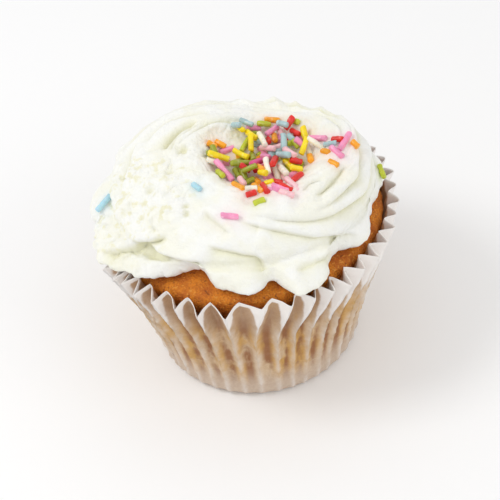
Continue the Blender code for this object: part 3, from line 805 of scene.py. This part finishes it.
def strand_points(middle, direction, half, random):
    """Rings of points of one strand, from one end's middle to the other's."""
    side = np.cross(direction, (0, 0, 1.0))
    side /= np.linalg.norm(side)
    up = np.cross(side, direction)
    reach = half + 0.4 * STRAND_RADIUS
    ends = [(-reach + depth * STRAND_RADIUS, width) for depth, width in END_PROFILE]
    middles = [(reach * t, 1.0) for t in (-0.4, 0.0, 0.4)]
    profile = ends + middles + [(-place, width) for place, width in reversed(ends)]
    bend = random.uniform(-0.12, 0.12)
    swell = random.uniform(0.9, 1.06) * (1 + 0.05 * random.normal(size=len(profile)))
    slant = random.uniform(-0.25, 0.25)
    angles = 2 * np.pi * np.arange(STRAND_SIDES) / STRAND_SIDES
    rings = []
    for (place, width), size in zip(profile, swell):
        radius = STRAND_RADIUS * width * size
        circle = radius * (np.cos(angles)[:, None] * side + np.sin(angles)[:, None] * up)
        lean = slant * radius * np.cos(angles)[:, None] * (abs(place) / reach) ** 4 * direction
        rings.append(middle + place * direction + bend * (place / reach) ** 2 * side + circle + lean)
    return np.array(rings)


def strand_mesh(colour, strands, random):
    points, faces = [], []
    for strand in strands:
        rings = strand_points(*strand, random)
        start = sum(map(len, points))
        points.append(rings.reshape(-1, 3))
        for ring, i in itertools.product(range(len(rings) - 1), range(STRAND_SIDES)):
            j = (i + 1) % STRAND_SIDES
            low, high = start + ring * STRAND_SIDES, start + (ring + 1) * STRAND_SIDES
            faces.append((low + i, low + j, high + j, high + i))
    mesh = bpy.data.meshes.new("strands_" + colour)
    mesh.from_pydata((np.concatenate(points) * MILLIMETRE).tolist(), [], faces)
    welded = bmesh.new()
    welded.from_mesh(mesh)
    bmesh.ops.remove_doubles(welded, verts=welded.verts, dist=0.00001)
    bmesh.ops.recalc_face_normals(welded, faces=welded.faces)
    welded.to_mesh(mesh)
    welded.free()
    mesh.shade_smooth()
    made = bpy.data.objects.new("strands_" + colour, mesh)
    bpy.context.scene.collection.objects.link(made)
    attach(made, "root")
    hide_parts("strand_heap")
    return made


shape_random = np.random.default_rng(8)
strand_objects = {colour: strand_mesh(colour, strands, shape_random) for colour, strands in lying.items()}
print("strands' faces:", sum(len(o.data.polygons) for o in strand_objects.values()))

# %% [markdown]
# ## Colour left in the cream
# Damp cream dissolves the sugar a little, so it takes on a faint stain round the strands. For
# every point of the frosting, the nearest strands add their colour with a weight that falls
# off within a millimetre or two. The result is a colour mark on the mesh, `stain`, whose
# alpha is the strength.

# %% Stain mark
def screen_colour(red, green, blue):
    """An everyday 0 to 255 colour as the linear light values that shaders work with."""
    share = np.array([red, green, blue]) / 255
    linear = np.where(share <= 0.04045, share / 12.92, ((share + 0.055) / 1.055) ** 2.4)
    return tuple(float(v) for v in linear)


SUGAR_COLOURS = {
    "yellow": screen_colour(255, 228, 20),
    "lime": screen_colour(204, 214, 60),
    "olive": screen_colour(160, 168, 44),
    "orange": screen_colour(255, 172, 34),
    "red": screen_colour(232, 46, 38),
    "pink": screen_colour(250, 158, 198),
    "magenta": screen_colour(222, 84, 146),
    "blush": screen_colour(250, 200, 205),
    "cream": screen_colour(252, 246, 228),
    "blue": screen_colour(176, 205, 207),
    "sky": screen_colour(180, 222, 236),
}
STAIN_REACH = 1.0
points = np.empty(len(frosting.data.vertices) * 3, np.float32)
frosting.data.vertices.foreach_get("co", points)
points = points.reshape(-1, 3) / MILLIMETRE
weight = np.zeros(len(points))
blend = np.zeros((len(points), 3))
close = np.nonzero(points[:, 2] > 44)[0]
for colour, strands in lying.items():
    for middle, direction, half in strands:
        near = close[np.linalg.norm(points[close] - middle, axis=1) < half + 6]
        offset = points[near] - middle
        along = np.clip(offset @ direction, -half, half)
        gap = np.linalg.norm(offset - along[:, None] * direction, axis=1) - STRAND_RADIUS
        amount = np.exp(-np.maximum(gap, 0) / STAIN_REACH) * (0.15 if colour in ("cream", "blush") else 1.0)
        weight[near] += amount
        blend[near] += amount[:, None] * SUGAR_COLOURS[colour]
strength = 1 - np.exp(-0.9 * weight)
patchy = 0.6 + 0.5 * lumps(points, 2.5, 61)
stain = np.concatenate([blend / np.maximum(weight, 1e-6)[:, None], (strength * patchy)[:, None]], axis=1)
stain_mark = frosting.data.attributes.new("stain", "FLOAT_COLOR", "POINT")
stain_mark.data.foreach_set("color", stain.clip(0, 1).astype(np.float32).ravel())
print("stained share of the cream:", round(float((strength > 0.3).mean()), 3))

# %% [markdown]
# ## Shader groups
# Two effects come back in every finish, so each is a node group. `mottle` gives soft patches
# as a mask: noise, cut between a low and a high value. `grain` gives the height of a fine
# surface, coarse and fine noise together, for a Bump node. Both read the object's own
# coordinates, so their scale is in real size: a scale of 1000 is about one patch for each
# millimetre.

# %% Groups mottle and grain
def new_group(name, inputs, outputs):
    group = bpy.data.node_groups.new(name, "ShaderNodeTree")
    for socket, kind, value in inputs:
        made = group.interface.new_socket(socket, in_out="INPUT", socket_type=kind)
        if value is not None:
            made.default_value = value
    for socket in outputs:
        group.interface.new_socket(socket, in_out="OUTPUT", socket_type="NodeSocketFloat")
    return group, group.nodes.new("NodeGroupInput"), group.nodes.new("NodeGroupOutput")


def noise_node(tree, vector, scale, detail):
    node = tree.nodes.new("ShaderNodeTexNoise")
    node.inputs["Detail"].default_value = detail
    tree.links.new(vector, node.inputs["Vector"])
    if isinstance(scale, (int, float)):
        node.inputs["Scale"].default_value = scale
    else:
        tree.links.new(scale, node.inputs["Scale"])
    return node.outputs["Fac"]


VECTOR, FLOAT = "NodeSocketVector", "NodeSocketFloat"
mottle, given, result = new_group(
    "mottle", (("Vector", VECTOR, None), ("Scale", FLOAT, 300.0), ("Low", FLOAT, 0.4), ("High", FLOAT, 0.6)), ("Mask",)
)
cut = mottle.nodes.new("ShaderNodeMapRange")
cut.interpolation_type = "SMOOTHSTEP"
mottle.links.new(noise_node(mottle, given.outputs["Vector"], given.outputs["Scale"], 4.0), cut.inputs["Value"])
mottle.links.new(given.outputs["Low"], cut.inputs["From Min"])
mottle.links.new(given.outputs["High"], cut.inputs["From Max"])
mottle.links.new(cut.outputs["Result"], result.inputs["Mask"])

grain, given, result = new_group(
    "grain", (("Vector", VECTOR, None), ("Coarse", FLOAT, 400.0), ("Fine", FLOAT, 1500.0), ("Fine share", FLOAT, 0.4)), ("Height",)
)
coarse = noise_node(grain, given.outputs["Vector"], given.outputs["Coarse"], 3.0)
fine = noise_node(grain, given.outputs["Vector"], given.outputs["Fine"], 5.0)
both = grain.nodes.new("ShaderNodeMix")
grain.links.new(given.outputs["Fine share"], both.inputs["Factor"])
grain.links.new(coarse, both.inputs["A"])
grain.links.new(fine, both.inputs["B"])
grain.links.new(both.outputs["Result"], result.inputs["Height"])
print("groups:", [g.name for g in bpy.data.node_groups])

# %% [markdown]
# Each finish is a Principled material. These small helpers start one, place a group in it,
# mix two colours by a mask, and add a Bump.

# %% Material helpers
def new_finish(name, roughness, **sockets):
    made = bpy.data.materials.new(name)
    made.use_nodes = True
    shader = made.node_tree.nodes["Principled BSDF"]
    shader.inputs["Roughness"].default_value = roughness
    for socket, value in sockets.items():
        shader.inputs[socket.replace("_", " ")].default_value = value
    return made, made.node_tree, shader


def object_vector(tree, stretch=(1, 1, 1)):
    place = tree.nodes.new("ShaderNodeTexCoord")
    scaled = tree.nodes.new("ShaderNodeMapping")
    scaled.inputs["Scale"].default_value = stretch
    tree.links.new(place.outputs["Object"], scaled.inputs["Vector"])
    return scaled.outputs["Vector"]


def use_group(tree, group, vector, **values):
    node = tree.nodes.new("ShaderNodeGroup")
    node.node_tree = group
    tree.links.new(vector, node.inputs["Vector"])
    for socket, value in values.items():
        node.inputs[socket.replace("_", " ")].default_value = value
    return node.outputs[0]


def mark(tree, name, output="Fac"):
    node = tree.nodes.new("ShaderNodeAttribute")
    node.attribute_name = name
    return node.outputs[output]


def blend_colours(tree, mask, first, second, mode="MIX"):
    """first where the mask is 0 and second where it's 1. Each is a colour or another node's output."""
    node = tree.nodes.new("ShaderNodeMix")
    node.data_type = "RGBA"
    node.blend_type = mode
    for socket, value in ((node.inputs["Factor"], mask), (node.inputs[6], first), (node.inputs[7], second)):
        if isinstance(value, bpy.types.NodeSocket):
            tree.links.new(value, socket)
        elif isinstance(value, tuple):
            socket.default_value = (*value, 1.0)
        else:
            socket.default_value = value
    return node.outputs[2]


def math_node(tree, operation, *values):
    node = tree.nodes.new("ShaderNodeMath")
    node.operation = operation
    node.use_clamp = True
    for socket, value in zip(node.inputs, values):
        if isinstance(value, bpy.types.NodeSocket):
            tree.links.new(value, socket)
        else:
            socket.default_value = value
    return node.outputs["Value"]


def add_bump(tree, shader, height, distance, strength=1.0):
    node = tree.nodes.new("ShaderNodeBump")
    node.inputs["Distance"].default_value = distance
    node.inputs["Strength"].default_value = strength
    tree.links.new(height, node.inputs["Height"])
    tree.links.new(node.outputs["Normal"], shader.inputs["Normal"])

# %% [markdown]
# ## Finish: buttercream
# Whipped fat and sugar is off-white and soft, so light goes a little way in: that's what the
# subsurface weight is for. Creases and pits get a painted shade, pale yellow and a little darker,
# the scraped left side is a little yellower in spots, and the strands' stain comes from the mark
# made above. A fine grain gives the slight sparkle of sugar.

# %% Buttercream
buttercream, tree, shader = new_finish("buttercream_finish", 0.58, Subsurface_Weight=0.12, Subsurface_Scale=0.0015)
shader.inputs["Subsurface Radius"].default_value = (1.0, 0.95, 0.85)
place = object_vector(tree)
WHITE, IVORY = screen_colour(248, 248, 243), screen_colour(247, 246, 234)
HOLLOW_SHADE, CRUMB = screen_colour(236, 234, 206), screen_colour(238, 235, 206)
colour = blend_colours(tree, use_group(tree, mottle, place, Scale=140.0, Low=0.42, High=0.62), WHITE, IVORY)
spots = math_node(tree, "MULTIPLY", mark(tree, "scraped"), use_group(tree, mottle, place, Scale=420.0, Low=0.52, High=0.68))
colour = blend_colours(tree, spots, colour, CRUMB)
# Painted shade: a pale yellow, slightly darker colour in the creases and pits.
colour = blend_colours(tree, math_node(tree, "MULTIPLY", mark(tree, "hollow"), 0.85), colour, HOLLOW_SHADE)
stain_weight = math_node(tree, "MULTIPLY", mark(tree, "stain", "Alpha"), 0.42)
colour = blend_colours(tree, stain_weight, colour, mark(tree, "stain", "Color"))
tree.links.new(colour, shader.inputs["Base Color"])
add_bump(tree, shader, use_group(tree, grain, place, Coarse=900.0, Fine=2600.0, Fine_share=0.5), 0.0005, 0.8)
frosting.data.materials.append(buttercream)

# %% [markdown]
# ## Finish: baked crust
# The sponge's skin browned unevenly: golden and browner in patches, with fine dark pores
# and light crumbs. Two sizes of mottle give the patches and the crumb.

# %% Baked crust
crust_finish, tree, shader = new_finish("baked_crust_finish", 0.7)
place = object_vector(tree)
GOLDEN, BROWN, PORE = screen_colour(228, 136, 26), screen_colour(192, 100, 18), screen_colour(140, 70, 12)
LIGHT_CRUMB = screen_colour(234, 158, 62)
colour = blend_colours(tree, use_group(tree, mottle, place, Scale=220.0, Low=0.38, High=0.66), GOLDEN, BROWN)
speckle = use_group(tree, mottle, place, Scale=2000.0, Low=0.44, High=0.60)
colour = blend_colours(tree, math_node(tree, "MULTIPLY", speckle, 0.65), colour, BROWN)
colour = blend_colours(tree, use_group(tree, mottle, place, Scale=1300.0, Low=0.56, High=0.70), colour, LIGHT_CRUMB)
colour = blend_colours(tree, use_group(tree, mottle, place, Scale=1000.0, Low=0.60, High=0.74), colour, PORE)
tree.links.new(colour, shader.inputs["Base Color"])
add_bump(tree, shader, use_group(tree, grain, place, Coarse=900.0, Fine=2600.0, Fine_share=0.5), 0.0010, 1.0)
sponge.data.materials.append(crust_finish)

# %% [markdown]
# ## Finish: greased paper
# Clean greaseproof paper is white with a touch of pink. Where it took up butter from the cake
# it's tan with golden patches, and paler again at the heel. Near the rim it's greyish brown, and
# the bottom of the hollows is browner: both are partly grease and partly painted shade of the
# folds. The `bare` and `fold` marks say where. Noise is added to `bare` before it's cut, so
# that the stain's edge is crisp but wanders.

# %% Greased paper
paper_finish, tree, shader = new_finish("greased_paper_finish", 0.55)
place = object_vector(tree)
drawn_out = object_vector(tree, (1.0, 1.0, 0.35))
CLEAN, TAN, GOLD = screen_colour(242, 237, 233), screen_colour(212, 184, 148), screen_colour(208, 162, 84)
# The greyish brown for the upper wall is partly grease and partly painted shade of the folds.
UPPER_WET_AND_SHADE, HEEL = screen_colour(186, 154, 124), screen_colour(206, 186, 166)
# The crease brown is grease and fibre colour, and in the bottom of the hollows also painted shade.
BROWN_AND_CREASE_SHADE = screen_colour(150, 96, 50)


def ramp(value, low, high):
    """0 below low and 1 above high, smooth between. low may be the larger one."""
    node = tree.nodes.new("ShaderNodeMapRange")
    node.interpolation_type = "SMOOTHSTEP"
    node.inputs["From Min"].default_value = low
    node.inputs["From Max"].default_value = high
    tree.links.new(value, node.inputs["Value"])
    return node.outputs["Result"]


height = tree.nodes.new("ShaderNodeSeparateXYZ")
tree.links.new(place, height.inputs["Vector"])
fold_mark = mark(tree, "fold")
patches = use_group(tree, mottle, drawn_out, Scale=210.0, Low=0.45, High=0.62)
colour = blend_colours(tree, patches, TAN, GOLD)
# Browner bottoms of the hollows: partly grease and sponge showing through, partly painted shade.
crease_brown_and_shade = math_node(tree, "MULTIPLY", ramp(fold_mark, 0.30, 0.85), use_group(tree, mottle, drawn_out, Scale=330.0, Low=0.34, High=0.56))
colour = blend_colours(tree, crease_brown_and_shade, colour, BROWN_AND_CREASE_SHADE)
# Greyish brown over the upper wall: partly grease, partly painted shade.
near_rim_wet_and_shade = math_node(tree, "MULTIPLY", ramp(height.outputs["Z"], 0.026, 0.038), 0.85)
colour = blend_colours(tree, near_rim_wet_and_shade, colour, UPPER_WET_AND_SHADE)
colour = blend_colours(tree, ramp(height.outputs["Z"], 0.014, 0.003), colour, HEEL)
fibres = use_group(tree, mottle, place, Scale=1500.0, Low=0.3, High=0.7)
colour = blend_colours(tree, math_node(tree, "MULTIPLY", fibres, 0.16), colour, BROWN_AND_CREASE_SHADE)
wander = use_group(tree, mottle, place, Scale=240.0, Low=0.2, High=0.8)
edge = tree.nodes.new("ShaderNodeMath")
edge.operation = "MULTIPLY_ADD"
tree.links.new(wander, edge.inputs[0])
edge.inputs[1].default_value = 0.16
tree.links.new(mark(tree, "bare"), edge.inputs[2])
ridge_line = math_node(tree, "MULTIPLY", ramp(fold_mark, 0.55, 0.0), math_node(tree, "MULTIPLY", wander, 0.62))
colour = blend_colours(tree, ridge_line, colour, CLEAN)
colour = blend_colours(tree, ramp(edge.outputs["Value"], 0.02, 0.16), colour, CLEAN)
tree.links.new(colour, shader.inputs["Base Color"])
add_bump(tree, shader, use_group(tree, grain, place, Coarse=700.0, Fine=2400.0), 0.0003, 0.6)
paper_case.data.materials.append(paper_finish)

# %% [markdown]
# ## Finish: sugar strands
# Pressed sugar paste is waxy: a soft gloss, a little light let in, and a colour that's paler
# where the rod has rubbed. Every colour gets its own copy of the same material.

# %% Sugar strands
for name, strand_object in strand_objects.items():
    sugar, tree, shader = new_finish("sugar_" + name, 0.32, Subsurface_Weight=0.15, Subsurface_Scale=0.0008)
    place = object_vector(tree)
    base = SUGAR_COLOURS[name]
    pale = tuple(v + (1 - v) * 0.22 for v in base)
    deep = tuple(v * 0.84 for v in base)
    colour = blend_colours(tree, use_group(tree, mottle, place, Scale=380.0, Low=0.40, High=0.66), base, deep)
    colour = blend_colours(tree, use_group(tree, mottle, place, Scale=900.0, Low=0.55, High=0.75), colour, pale)
    tree.links.new(colour, shader.inputs["Base Color"])
    add_bump(tree, shader, use_group(tree, grain, place, Coarse=1200.0, Fine=4000.0), 0.0001, 0.5)
    strand_object.data.materials.append(sugar)
print("finishes:", len(bpy.data.materials))
